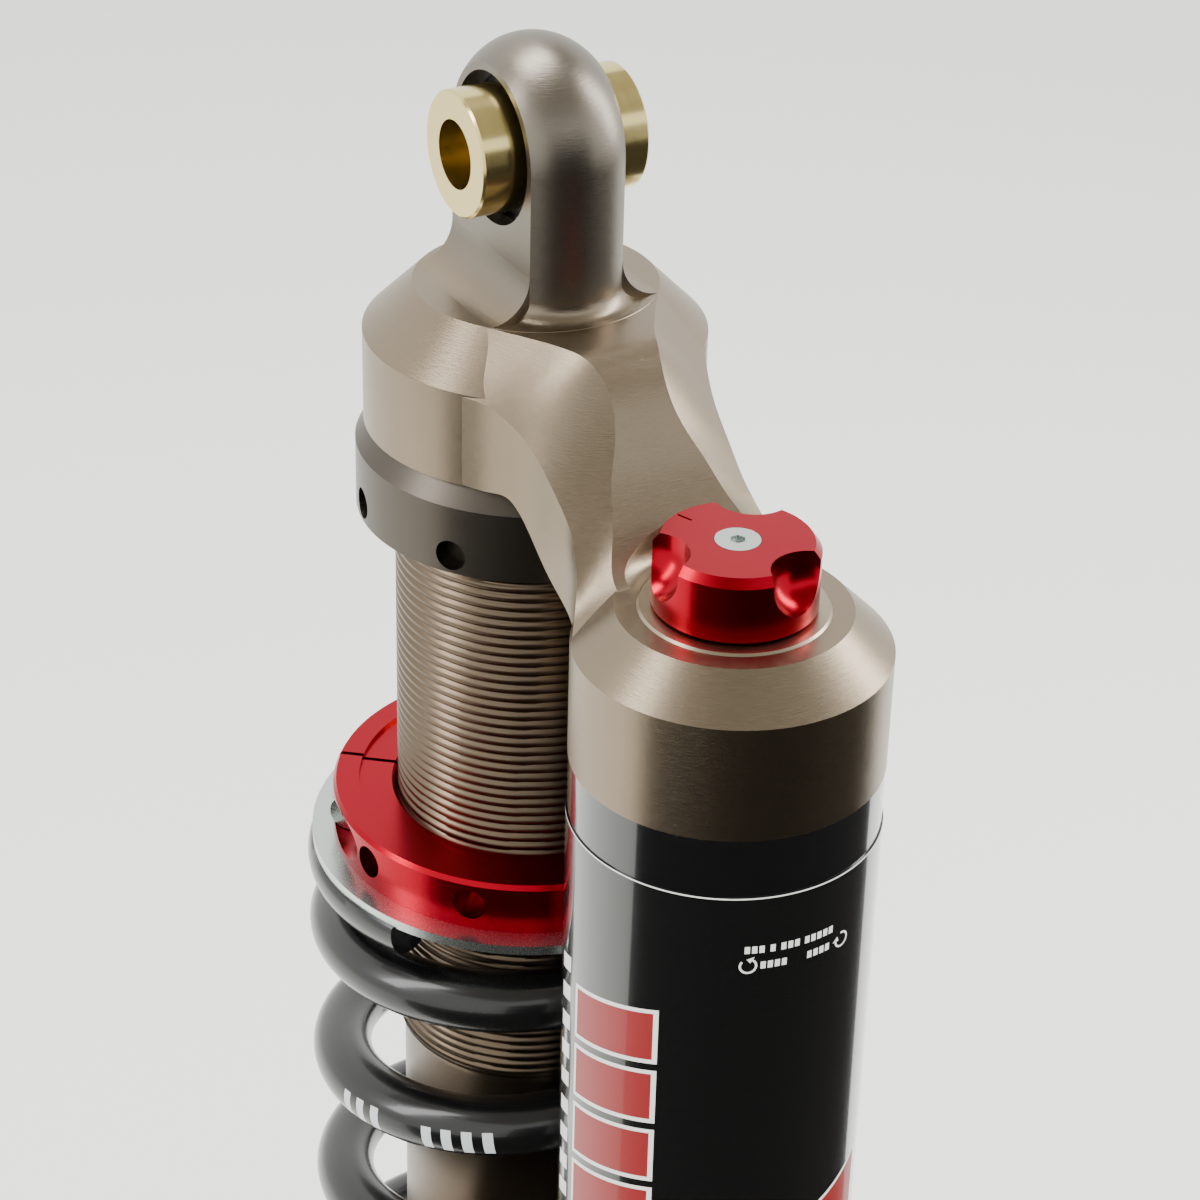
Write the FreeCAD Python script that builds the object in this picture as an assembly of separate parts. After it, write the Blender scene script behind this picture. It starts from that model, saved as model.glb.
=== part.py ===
"""Rear shock absorber with a coil spring and a piggyback reservoir.

Frame: origin at the centre of the upper eye, +Z up along the shock body, bolt axis along X,
reservoir on the -Y side. All sizes in millimetres. The shock is drawn fully extended.
"""
import FreeCAD, Part
import math
import os

V = FreeCAD.Vector
os.makedirs("parts", exist_ok=True)

# ---------------------------------------------------------------- overall layout
EYE_TO_EYE = 438.0          # upper eye centre to lower eye centre, fully extended
STROKE = 101.6              # shaft travel, 4 in
RESERVOIR_OFFSET = 73.8     # body axis to reservoir axis
BODY_R = 26.5               # body over its 53 mm thread
BODY_PLAIN_R = 25.5         # body below the thread
BODY_BORE_R = 23.0
RESERVOIR_R = 28.1
RESERVOIR_BORE_R = 25.0
SHAFT_R = 8.0
SPRING_OUTER_R = 44.95
SPRING_WIRE_R = 6.1
EYE_BOLT_R = 6.35           # 1/2 in bolt

# ---------------------------------------------------------------- fits
RUNNING = 0.05              # radial clearance of a shaft or a thread that turns
STATIC = 0.02               # radial clearance of parts held still against each other
SEAT_GAP = 0.3              # axial gap under a part that turns

# ---------------------------------------------------------------- heights, from the upper eye
HEAD_FLAT_Z = -27.4
HEAD_WALL_TOP_Z = -36.7
HEAD_BOTTOM_Z = -55.0
CAP_FLAT_Z = -58.5          # flat round the adjuster
CAP_CHAMFER_Z = -65.9
CAP_BOTTOM_Z = -88.2
SPIGOT_TOP_Z = -46.0        # top of the body inside the head
LOCK_RING_BOTTOM_Z = -72.8
NUT_TOP_Z = -136.7
NUT_BOTTOM_Z = -147.5
SPRING_TOP_Z = -149.5
THREAD_END_Z = -194.0
BODY_BOTTOM_Z = -264.0
END_CAP_BOTTOM_Z = -270.0
RESERVOIR_BOTTOM_Z = -250.0
SPRING_BOTTOM_Z = -397.5
PERCH_BOTTOM_Z = -405.5
COLLAR_TOP_Z = -389.0
FLANGE_BOTTOM_Z = -409.0
ADJUSTER_Z = -415.5         # rebound adjuster screw in the lower eye
ADJUSTER_HEAD_R = 6.4
ADJUSTER_HEAD_LENGTH = 6.9  # how far the screw head stands out from the lower eye
ADJUSTER_NOSE_Y = 4.0
ADJUSTER_BORE_END = 7.4
LOWER_EYE_Z = -EYE_TO_EYE

# ---------------------------------------------------------------- eyes and their bearings
EYE_R = 19.6
EYE_HALF = 9.5
EYE_FACE_R = 15.4           # flat face round the bearing, the rim is rounded outside it
RACE_R = 14.0
RACE_HALF = 5.0
BALL_R = 11.5
BALL_HALF = 7.0
CLIP_IN_R = 12.9
CLIP_OUT_R = 14.8
CLIP_THICK = 1.0
SPACER_R = 11.6
SPACER_SLEEVE_R = 8.0
SPACER_END = 16.7

# ---------------------------------------------------------------- head
HEAD_R = 32.2
HEAD_FLAT_R = 22.9
CAP_R = 28.2
CAP_FLAT_R = 20.8
LUG_FILLET = 8.0
FOOT_FILLET = 3.2
HEAD_POCKET_R = 20.0
VALVE_CHAMBER_R = 20.0
ADJUSTER_BORE_R = 12.5
SPIGOT_LENGTH = 12.0        # head spigot inside the reservoir tube
OIL_PORT_R = 2.5
OIL_PORT_START = (-15.0, -36.5)     # y, z
OIL_PORT_END = (-57.0, -70.5)
POCKET_ROOF_Z = -37.0
CHAMBER_ROOF_Z = -67.5
SPOTFACE_FILLET = 3.0       # cutter corner where the ramp meets the flat of the cap
# one row per station along the bridge: distance from the body axis, wall half-width,
# wall top, ridge half-width, ridge height, underside
BRIDGE = [
    (12.0, 29.6, -37.0, 19.4, -27.6, -54.9),
    (16.5, 27.4, -37.0, 16.4, -27.5, -54.9),
    (20.5, 24.9, -37.2, 13.7, -27.5, -54.9),
    (24.5, 22.4, -37.7, 11.2, -27.5, -54.9),
    (30.0, 20.1, -39.9, 8.2, -27.7, -55.2),
    (35.0, 18.8, -42.8, 6.4, -29.4, -60.4),
    (40.0, 18.3, -46.3, 5.7, -34.8, -65.0),
    (45.0, 18.0, -50.2, 8.3, -42.6, -68.0),
    (50.0, 18.5, -54.5, 11.0, -49.1, -70.4),
    (55.0, 20.6, -60.4, 13.8, -54.5, -74.0),
    (60.0, 24.0, -65.1, 15.6, -58.2, -80.0),
    (63.0, 25.6, -66.2, 16.0, -58.8, -82.0),
]

# ---------------------------------------------------------------- rings, nut and washer
LOCK_RING_R = 33.8
LOCK_RING_CHAMFER = 3.0
LOCK_RING_CHAMFER_DROP = 4.2
SPANNER_HOLE_R = 3.0
SPANNER_HOLE_DEPTH = 4.0
LOCK_RING_HOLES = 8
LOCK_RING_FIRST_HOLE = 170.5
NUT_R = 39.5
NUT_RECESS_R = 34.3
NUT_RECESS_DEPTH = 0.8
NUT_HOLE_R = 3.3
NUT_HOLE_ANGLES = [9.4, 45.4, 81.4, 189.4, 225.4, 261.4, 297.4, 333.4]
NUT_SLIT_ANGLE = 142.0
NUT_SLIT = 1.0
CLAMP_SCREW_OFFSET = 34.0
CLAMP_SCREW_R = 2.5
CLAMP_HEAD_R = 4.2
CLAMP_HEAD_START = 9.0
CLAMP_HEAD_LENGTH = 4.0
WASHER_R = 43.9

# ---------------------------------------------------------------- spring
SPRING_TURNS = 8.5
SPRING_END_PITCH = 14.0
SPRING_TIP_ANGLE = 206.0
SPRING_TIP_DROP = 2.0       # wire centre below the seat at the ground tip
SPRING_PLAIN_TURNS = 1.0    # close-wound turns at each end
SPRING_POINTS_PER_TURN = 16

# ---------------------------------------------------------------- damper internals
SEAL_HEAD_TOP_Z = -238.0
SEAL_HEAD_BOTTOM_Z = -257.0
TOPOUT_TOP_Z = -233.0
STUD_R = 6.0
STUD_TOP_Z = -199.0
SHOULDER_Z = -232.6
PISTON_STACK = [            # name, top height, bottom height, outer radius
    ("rebound_washer", -230.6, -232.6, 11.0),
    ("rebound_shims", -228.2, -230.6, 17.0),
    ("damping_piston", -214.2, -228.2, 22.8),
    ("compression_shims", -211.8, -214.2, 17.0),
    ("compression_washer", -209.8, -211.8, 11.0),
]
PISTON_NUT_TOP_Z = -202.0
PISTON_NUT_FLATS_R = 9.5
BAND_Z = (-224.0, -218.0)
ROD_R = 2.7
ROD_BORE_R = 3.0
ROD_TOP_Z = -206.0
ROD_BOTTOM_Z = -412.0
PORTS = 6

# ---------------------------------------------------------------- reservoir internals
FLOAT_TOP_Z = -112.0
FLOAT_BOTTOM_Z = -130.0
LABEL_TOP_Z = -99.9
LABEL_BOTTOM_Z = -243.0
LABEL_THICK = 0.25
END_CAP_TOP_Z = -236.0
VALVE_R = 4.0

# ---------------------------------------------------------------- compression adjuster
DISC_R = 16.9
DISC_THICK = 3.0
KNOB_R = 14.5
KNOB_TOP_Z = -45.4
SCOOP_R = 7.0
SCOOP_CENTRE_R = 16.0
SCOOP_BALL_Z = -47.6
SCOOP_ANGLES = [50.0, 170.0, 290.0]
INDEX_ANGLE = 112.0
INDEX_LINE = (0.5, 0.4)     # width and depth of the engraved line
NEEDLE_R = 2.5


# ================================================================ small helpers
def lathe(points, centre=(0.0, 0.0)):
    """Solid of revolution about a vertical axis from (radius, z) points."""
    loop = [V(r, 0, z) for r, z in points] + [V(points[0][0], 0, points[0][1])]
    solid = Part.Face(Part.makePolygon(loop)).revolve(V(0, 0, 0), V(0, 0, 1), 360)
    solid.translate(V(centre[0], centre[1], 0))
    return solid


def disc(radius, top, bottom, centre=(0.0, 0.0)):
    return Part.makeCylinder(radius, top - bottom, V(centre[0], centre[1], bottom))


def ring(outer, inner, top, bottom, centre=(0.0, 0.0)):
    return disc(outer, top, bottom, centre).cut(disc(inner, top, bottom, centre))


def bar_x(radius, start, end, z=0.0):
    return Part.makeCylinder(radius, end - start, V(start, 0, z), V(1, 0, 0))


def radial_hole(radius, angle, z, start, length):
    a = math.radians(angle)
    direction = V(math.cos(a), math.sin(a), 0)
    return Part.makeCylinder(radius, length, direction * start + V(0, 0, z), direction)


def c_ring_x(outer, inner, start, end, z, gap_width):
    """Open retaining ring about a horizontal axis, its gap at the bottom."""
    body = bar_x(outer, start, end, z).cut(bar_x(inner, start, end, z))
    gap = Part.makeBox(end - start, gap_width, outer, V(start, -gap_width / 2, z - outer))
    return body.cut(gap)


def c_ring(outer, inner, top, bottom, centre, gap_width):
    """Open retaining ring about a vertical axis, its gap towards -Y."""
    gap = Part.makeBox(gap_width, outer, top - bottom,
                       V(centre[0] - gap_width / 2, centre[1] - outer, bottom))
    return ring(outer, inner, top, bottom, centre).cut(gap)


def o_ring(major, minor, z, centre=(0.0, 0.0)):
    return Part.makeTorus(major, minor, V(centre[0], centre[1], z), V(0, 0, 1))


def hexagon(corner_r, top, bottom, centre=(0.0, 0.0)):
    points = [V(centre[0] + corner_r * math.cos(math.radians(60 * k)),
                centre[1] + corner_r * math.sin(math.radians(60 * k)), bottom)
              for k in range(7)]
    return Part.Face(Part.makePolygon(points)).extrude(V(0, 0, top - bottom))


def export(name, shape):
    shape.exportStep("parts/" + name + ".step")


# ================================================================ eyes
def eye_rim_arc():
    """Arc from one flat face of the eye over its rounded rim to the other (x, radius)."""
    return Part.Arc(V(EYE_HALF, EYE_FACE_R, 0), V(0, EYE_R, 0), V(-EYE_HALF, EYE_FACE_R, 0))


def eye_lug(z_eye, z_foot):
    """Rounded eye with a straight lug of the same section running to its foot."""
    arc = eye_rim_arc().toShape()
    base = Part.makePolygon([V(-EYE_HALF, EYE_FACE_R, 0), V(-EYE_HALF, 0, 0),
                             V(EYE_HALF, 0, 0), V(EYE_HALF, EYE_FACE_R, 0)])
    half = Part.Face(Part.Wire([arc] + list(base.Edges)))
    eye = half.revolve(V(0, 0, 0), V(1, 0, 0), 360)
    eye.translate(V(0, 0, z_eye))
    other = half.mirror(V(0, 0, 0), V(0, 1, 0))
    lug = half.fuse(other).removeSplitter().extrude(V(0, 0, z_foot - z_eye))
    lug.translate(V(0, 0, z_eye))
    return eye.fuse(lug)


def bearing_bore(z):
    """Bore for the race with a groove each side for its retaining rings."""
    bore = bar_x(RACE_R, -EYE_HALF, EYE_HALF, z)
    for side in (-1, 1):
        inner = side * RACE_HALF
        outer = side * (RACE_HALF + CLIP_THICK + STATIC)
        bore = bore.fuse(bar_x(CLIP_OUT_R + STATIC, min(inner, outer), max(inner, outer), z))
    return bore


def flank_fillets(z_flat, reach, up):
    """Concave fillets along both flat flanks of a lug; up is 1 for a lug above the flat."""
    tip = up * LUG_FILLET
    out = None
    for side in (-1, 1):
        x0 = side * (EYE_HALF - 1.0)
        x1 = side * (EYE_HALF + LUG_FILLET)
        mid = side * (EYE_HALF + LUG_FILLET * (1 - math.sqrt(0.5)))
        arc = Part.Arc(V(side * EYE_HALF, 0, z_flat + tip),
                       V(mid, 0, z_flat + tip * (1 - math.sqrt(0.5))),
                       V(x1, 0, z_flat)).toShape()
        rest = Part.makePolygon([V(x1, 0, z_flat), V(x1, 0, z_flat - up), V(x0, 0, z_flat - up),
                                 V(x0, 0, z_flat + tip), V(side * EYE_HALF, 0, z_flat + tip)])
        prism = Part.Face(Part.Wire([arc] + list(rest.Edges))).extrude(V(0, 2 * reach, 0))
        prism.translate(V(0, -reach, 0))
        out = prism if out is None else out.fuse(prism)
    return out


def foot_fillets():
    """Concave fillets round the front and back feet of the upper lug, cut off level with its flanks."""
    rise = EYE_R - EYE_FACE_R
    nose_r = (EYE_HALF ** 2 + rise ** 2) / (2 * rise)
    low, outer = HEAD_FLAT_Z, nose_r + FOOT_FILLET
    inset = FOOT_FILLET * (1 - math.sqrt(0.5))
    arc = Part.Arc(V(outer, 0, low), V(nose_r + inset, 0, low + inset),
                   V(nose_r, 0, low + FOOT_FILLET)).toShape()
    rest = Part.makePolygon([V(nose_r, 0, low + FOOT_FILLET), V(nose_r - 2.0, 0, low + FOOT_FILLET),
                             V(nose_r - 2.0, 0, low - 1.0), V(outer, 0, low - 1.0), V(outer, 0, low)])
    collar = Part.Face(Part.Wire([arc] + list(rest.Edges))).revolve(V(0, 0, 0), V(0, 0, 1), 360)
    collar.translate(V(0, nose_r - EYE_R, 0))
    front = collar.common(Part.makeBox(60.0, 30.0, 20.0, V(-30.0, -EYE_FACE_R - 30.0, low - 10.0)))
    return front.fuse(front.mirror(V(0, 0, 0), V(0, 1, 0)))


# ================================================================ head
def spotface(centre):
    """Cutter for the flat round the adjuster, with a rounded corner where it meets the ramp."""
    flat = CAP_FLAT_R - SPOTFACE_FILLET
    inset = SPOTFACE_FILLET * (1 - math.sqrt(0.5))
    arc = Part.Arc(V(flat, 0, CAP_FLAT_Z), V(CAP_FLAT_R - inset, 0, CAP_FLAT_Z + inset),
                   V(CAP_FLAT_R, 0, CAP_FLAT_Z + SPOTFACE_FILLET)).toShape()
    rest = Part.makePolygon([V(CAP_FLAT_R, 0, CAP_FLAT_Z + SPOTFACE_FILLET), V(CAP_FLAT_R, 0, HEAD_FLAT_Z),
                             V(0, 0, HEAD_FLAT_Z), V(0, 0, CAP_FLAT_Z), V(flat, 0, CAP_FLAT_Z)])
    cutter = Part.Face(Part.Wire([arc] + list(rest.Edges))).revolve(V(0, 0, 0), V(0, 0, 1), 360)
    cutter.translate(V(centre[0], centre[1], 0))
    return cutter


def bridge():
    """Web from the body to the reservoir: a 45 degree ramp on top, concave side walls."""
    wires = []
    for s, wall, wall_top, ridge, ridge_z, low in BRIDGE:
        half = [(wall, low), (wall, wall_top), (ridge, ridge_z)]
        loop = [V(x, -s, z) for x, z in half] + [V(-x, -s, z) for x, z in reversed(half)]
        wires.append(Part.makePolygon(loop + [loop[0]]))
    return Part.makeLoft(wires, True, False)


def make_head():
    b = (0.0, -RESERVOIR_OFFSET)
    body_side = lathe([(0, HEAD_BOTTOM_Z), (HEAD_R, HEAD_BOTTOM_Z), (HEAD_R, HEAD_WALL_TOP_Z),
                       (HEAD_FLAT_R, HEAD_FLAT_Z), (0, HEAD_FLAT_Z)])
    spigot_bottom = CAP_BOTTOM_Z - SPIGOT_LENGTH
    cap_side = lathe([(0, spigot_bottom), (RESERVOIR_BORE_R - STATIC, spigot_bottom),
                      (RESERVOIR_BORE_R - STATIC, CAP_BOTTOM_Z), (CAP_R, CAP_BOTTOM_Z),
                      (CAP_R, CAP_CHAMFER_Z), (CAP_FLAT_R, CAP_FLAT_Z), (0, CAP_FLAT_Z)], b)
    lug = eye_lug(0.0, HEAD_FLAT_Z - 1.0)
    flanks = flank_fillets(HEAD_FLAT_Z, EYE_FACE_R, 1)
    flanks = flanks.common(disc(HEAD_FLAT_R, 0, HEAD_FLAT_Z - 1.0))
    head = body_side.fuse([cap_side, bridge(), lug, flanks, foot_fillets()])
    head = head.cut(spotface(b))
    head = head.cut(disc(LOCK_RING_R + 0.5, HEAD_BOTTOM_Z, LOCK_RING_BOTTOM_Z))
    head = head.cut(bearing_bore(0.0))
    head = head.cut(disc(BODY_PLAIN_R + STATIC, SPIGOT_TOP_Z, HEAD_BOTTOM_Z))
    head = head.cut(disc(HEAD_POCKET_R, POCKET_ROOF_Z, SPIGOT_TOP_Z))
    head = head.cut(disc(VALVE_CHAMBER_R, CHAMBER_ROOF_Z, spigot_bottom, b))
    head = head.cut(disc(ADJUSTER_BORE_R, CAP_FLAT_Z, CAP_FLAT_Z - 15.0, b))
    head = head.cut(disc(DISC_R + STATIC, CAP_FLAT_Z, CAP_FLAT_Z - DISC_THICK, b))
    start, end = V(0, *OIL_PORT_START), V(0, *OIL_PORT_END)
    head = head.cut(Part.makeCylinder(OIL_PORT_R, (end - start).Length, start, end - start))
    groove = o_ring(RESERVOIR_BORE_R - 1.0, 1.2, CAP_BOTTOM_Z - 6.0, b)
    return head.cut(groove).removeSplitter()


# ================================================================ eye bearings
def make_race(z):
    race = bar_x(RACE_R - STATIC, -RACE_HALF, RACE_HALF, z)
    return race.cut(Part.makeSphere(BALL_R + RUNNING, V(0, 0, z)))


def make_ball(z):
    ball = Part.makeSphere(BALL_R, V(0, 0, z)).common(bar_x(BALL_R, -BALL_HALF, BALL_HALF, z))
    return ball.cut(bar_x(SPACER_SLEEVE_R, -BALL_HALF, BALL_HALF, z))


def make_bearing_clips(z):
    rings = []
    for side in (-1, 1):
        inner = side * (RACE_HALF + STATIC / 2)
        outer = side * (RACE_HALF + CLIP_THICK)
        rings.append(c_ring_x(CLIP_OUT_R, CLIP_IN_R, min(inner, outer), max(inner, outer), z, 6.0))
    return Part.makeCompound(rings)


def make_spacers(z):
    """Two top-hat spacers whose sleeves meet inside the ball."""
    spacers = []
    for side in (-1, 1):
        flange = bar_x(SPACER_R, BALL_HALF + STATIC, SPACER_END, z)
        flange = flange.makeChamfer(0.4, [e for e in flange.Edges if len(e.Vertexes) == 1])
        sleeve = bar_x(SPACER_SLEEVE_R - RUNNING, STATIC, BALL_HALF + 1.0, z)
        spacer = flange.fuse(sleeve).removeSplitter().cut(bar_x(EYE_BOLT_R, 0.0, SPACER_END, z))
        if side < 0:
            spacer = spacer.mirror(V(0, 0, 0), V(1, 0, 0))
        spacers.append(spacer)
    return Part.makeCompound(spacers)


# ================================================================ shock body
def make_shock_body():
    outline = [(BODY_BORE_R, SPIGOT_TOP_Z - STATIC), (BODY_PLAIN_R, SPIGOT_TOP_Z - STATIC),
               (BODY_PLAIN_R, HEAD_BOTTOM_Z - STATIC), (BODY_R, HEAD_BOTTOM_Z - STATIC),
               (BODY_R, THREAD_END_Z), (BODY_PLAIN_R, THREAD_END_Z - 2.0),
               (BODY_PLAIN_R, BODY_BOTTOM_Z), (BODY_BORE_R, BODY_BOTTOM_Z)]
    groove = disc(BODY_BORE_R + 0.8, SEAL_HEAD_BOTTOM_Z, SEAL_HEAD_BOTTOM_Z - 1.4)
    return lathe(outline).cut(groove)


def make_body_o_ring():
    return o_ring(BODY_BORE_R - 1.2, 1.1, SPIGOT_TOP_Z - 2.0)


def make_lock_ring():
    top = HEAD_BOTTOM_Z - STATIC
    body = lathe([(BODY_R + STATIC, LOCK_RING_BOTTOM_Z), (LOCK_RING_R, LOCK_RING_BOTTOM_Z),
                  (LOCK_RING_R, top - LOCK_RING_CHAMFER_DROP),
                  (LOCK_RING_R - LOCK_RING_CHAMFER, top), (BODY_R + STATIC, top)])
    for k in range(LOCK_RING_HOLES):
        angle = LOCK_RING_FIRST_HOLE + 360.0 * k / LOCK_RING_HOLES
        body = body.cut(radial_hole(SPANNER_HOLE_R, angle, LOCK_RING_BOTTOM_Z + 3.6,
                                    LOCK_RING_R - SPANNER_HOLE_DEPTH, SPANNER_HOLE_DEPTH + 2.0))
    return body


def make_seal_head():
    body = ring(BODY_BORE_R - STATIC, SHAFT_R + RUNNING, SEAL_HEAD_TOP_Z, SEAL_HEAD_BOTTOM_Z)
    body = body.cut(o_ring(BODY_BORE_R - 1.0, 1.3, SEAL_HEAD_TOP_Z - 8.0))
    return body.cut(ring(SHAFT_R + 3.6, SHAFT_R, SEAL_HEAD_TOP_Z - 10.0, SEAL_HEAD_TOP_Z - 14.0))


def make_seal_head_o_ring():
    band = o_ring(BODY_BORE_R - 1.0, 1.2, SEAL_HEAD_TOP_Z - 8.0)
    return band.common(disc(BODY_BORE_R - STATIC, SEAL_HEAD_TOP_Z, SEAL_HEAD_BOTTOM_Z))


def make_shaft_seal():
    top = SEAL_HEAD_TOP_Z - 10.0 - STATIC
    return ring(SHAFT_R + 3.5, SHAFT_R + RUNNING, top, top - 3.9)


def make_seal_head_clip():
    top = SEAL_HEAD_BOTTOM_Z - STATIC
    return c_ring(BODY_BORE_R + 0.7, BODY_BORE_R - 1.4, top, top - 1.2, (0.0, 0.0), 8.0)


def make_body_end_cap():
    top = SEAL_HEAD_BOTTOM_Z - 2.0
    cap = lathe([(SHAFT_R + SEAT_GAP, END_CAP_BOTTOM_Z), (BODY_PLAIN_R - 1.5, END_CAP_BOTTOM_Z),
                 (BODY_PLAIN_R, END_CAP_BOTTOM_Z + 1.5), (BODY_PLAIN_R, BODY_BOTTOM_Z - STATIC),
                 (BODY_BORE_R - STATIC, BODY_BOTTOM_Z - STATIC), (BODY_BORE_R - STATIC, top),
                 (SHAFT_R + SEAT_GAP, top)])
    return cap.cut(ring(SHAFT_R + 3.0, SHAFT_R, END_CAP_BOTTOM_Z + 4.0, END_CAP_BOTTOM_Z))


def make_shaft_wiper():
    return ring(SHAFT_R + 3.0 - STATIC, SHAFT_R + RUNNING, END_CAP_BOTTOM_Z + 3.9,
                END_CAP_BOTTOM_Z + 0.2)


def make_topout_bumper():
    return ring(16.0, SHAFT_R + SEAT_GAP, TOPOUT_TOP_Z, SEAL_HEAD_TOP_Z + STATIC)


# ================================================================ preload nut and washer
def slit_frame():
    a = math.radians(NUT_SLIT_ANGLE)
    return V(math.cos(a), math.sin(a), 0), V(-math.sin(a), math.cos(a), 0)


def clamp_screw_line(radius, start, length):
    """Cylinder along the clamp screw, measured from the slit."""
    outward, along = slit_frame()
    z = (NUT_TOP_Z + NUT_BOTTOM_Z) / 2
    return Part.makeCylinder(radius, length, outward * CLAMP_SCREW_OFFSET + along * start
                             + V(0, 0, z), along)


def make_preload_nut():
    floor = NUT_TOP_Z - NUT_RECESS_DEPTH
    nut = lathe([(BODY_R + RUNNING, NUT_BOTTOM_Z), (NUT_R, NUT_BOTTOM_Z), (NUT_R, NUT_TOP_Z - 1.0),
                 (NUT_R - 0.6, NUT_TOP_Z), (NUT_RECESS_R, NUT_TOP_Z), (NUT_RECESS_R, floor),
                 (BODY_R + 1.2, floor), (BODY_R + RUNNING, floor - 0.8)])
    middle = (NUT_TOP_Z + NUT_BOTTOM_Z) / 2
    for angle in NUT_HOLE_ANGLES:
        nut = nut.cut(radial_hole(NUT_HOLE_R, angle, middle, NUT_R - 6.0, 8.0))
    nut = nut.cut(clamp_screw_line(CLAMP_SCREW_R + STATIC, -14.0, 30.0))
    nut = nut.cut(clamp_screw_line(CLAMP_HEAD_R + 0.2, CLAMP_HEAD_START, 20.0))
    slit = Part.makeBox(NUT_R, NUT_SLIT, NUT_TOP_Z - NUT_BOTTOM_Z,
                        V(20.0, -NUT_SLIT / 2, NUT_BOTTOM_Z))
    slit.rotate(V(0, 0, 0), V(0, 0, 1), NUT_SLIT_ANGLE)
    return nut.cut(slit)


def make_clamp_screw():
    screw = clamp_screw_line(CLAMP_SCREW_R, -13.0, 13.0 + CLAMP_HEAD_START)
    head = clamp_screw_line(CLAMP_HEAD_R, CLAMP_HEAD_START, CLAMP_HEAD_LENGTH)
    socket = clamp_screw_line(2.0, CLAMP_HEAD_START + 1.5, CLAMP_HEAD_LENGTH)
    return screw.fuse(head).cut(socket)


def make_spring_washer():
    return ring(WASHER_R, BODY_R + SEAT_GAP, NUT_BOTTOM_Z - STATIC, SPRING_TOP_Z)


# ================================================================ spring and its lower seat
def spring_centre_line():
    """Points of the wire centre: close-wound ends, wide pitch between, going down clockwise."""
    radius = SPRING_OUTER_R - SPRING_WIRE_R
    length = SPRING_TOP_Z - SPRING_BOTTOM_Z - 2 * SPRING_TIP_DROP
    open_turns = SPRING_TURNS - 2 * SPRING_PLAIN_TURNS
    open_pitch = (length - 2 * SPRING_PLAIN_TURNS * SPRING_END_PITCH) / open_turns
    steps = int(SPRING_TURNS * SPRING_POINTS_PER_TURN)
    drop, points = 0.0, []
    for k in range(steps + 1):
        turn = SPRING_TURNS * k / steps
        a = math.radians(SPRING_TIP_ANGLE - 360.0 * turn)
        points.append(V(radius * math.cos(a), radius * math.sin(a),
                        SPRING_TOP_Z - SPRING_TIP_DROP - drop))
        middle = turn + 0.5 * SPRING_TURNS / steps
        edge = min(middle, SPRING_TURNS - middle)
        blend = min(1.0, max(0.0, 0.5 + 2.0 * (edge - SPRING_PLAIN_TURNS)))
        pitch = SPRING_END_PITCH + blend * (open_pitch - SPRING_END_PITCH)
        drop += pitch * SPRING_TURNS / steps
    return points


def make_spring():
    points = spring_centre_line()
    curve = Part.BSplineCurve()
    curve.interpolate(points)
    path = Part.Wire(curve.toShape())
    start = curve.tangent(curve.FirstParameter)[0]
    profile = Part.Wire(Part.makeCircle(SPRING_WIRE_R, points[0], start))
    wire = path.makePipeShell([profile], True, True)
    slab = ring(SPRING_OUTER_R + 1.0, 20.0, SPRING_TOP_Z - STATIC, SPRING_BOTTOM_Z + STATIC)
    return wire.common(slab)


def make_spring_perch():
    lip = SPRING_OUTER_R - 2 * SPRING_WIRE_R - 0.6
    inner = 24.9 + STATIC
    return lathe([(inner, PERCH_BOTTOM_Z), (43.0, PERCH_BOTTOM_Z), (44.0, PERCH_BOTTOM_Z + 1.0),
                  (44.0, SPRING_BOTTOM_Z), (lip, SPRING_BOTTOM_Z), (lip, SPRING_BOTTOM_Z + 4.0),
                  (lip - 1.0, SPRING_BOTTOM_Z + 5.0), (inner, SPRING_BOTTOM_Z + 5.0)])


def make_perch_clip():
    top = SPRING_BOTTOM_Z + 5.0 + STATIC + 1.2
    return c_ring(26.4, 23.6, top, top - 1.2, (0.0, 0.0), 8.0)


# ================================================================ shaft side
def make_shaft():
    shaft = disc(SHAFT_R, SHOULDER_Z, COLLAR_TOP_Z - 11.0)
    shaft = shaft.fuse(disc(STUD_R, STUD_TOP_Z, SHOULDER_Z - 1.0))
    return shaft.cut(disc(ROD_BORE_R, STUD_TOP_Z, COLLAR_TOP_Z - 11.0)).removeSplitter()


def make_piston_stack_part(top, bottom, outer):
    return ring(outer, STUD_R + STATIC, top, bottom)


def make_damping_piston():
    name, top, bottom, outer = PISTON_STACK[2]
    piston = ring(outer, STUD_R + STATIC, top, bottom)
    piston = piston.cut(ring(outer + 1.0, outer - 1.6, BAND_Z[1], BAND_Z[0]))
    for k in range(PORTS):
        a = math.radians(360.0 * k / PORTS)
        port = disc(2.6, top, bottom, (13.0 * math.cos(a), 13.0 * math.sin(a)))
        piston = piston.cut(port)
    return piston


def make_piston_band():
    outer = PISTON_STACK[2][3]
    return ring(BODY_BORE_R - RUNNING, outer - 1.6 + STATIC, BAND_Z[1] - STATIC,
                BAND_Z[0] + STATIC)


def make_piston_nut():
    bottom = PISTON_STACK[4][1]
    return hexagon(PISTON_NUT_FLATS_R, PISTON_NUT_TOP_Z, bottom).cut(
        disc(STUD_R + STATIC, PISTON_NUT_TOP_Z, bottom))


def make_bump_washer():
    return ring(18.5, SHAFT_R + STATIC, COLLAR_TOP_Z + 2.0, COLLAR_TOP_Z)


def make_bump_stop():
    low = COLLAR_TOP_Z + 2.0
    inner = SHAFT_R + STATIC
    return lathe([(inner, low), (17.5, low), (18.0, low + 3.0), (15.5, low + 6.5),
                  (16.5, low + 9.0), (14.0, low + 15.0), (inner, low + 15.0)])


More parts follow.
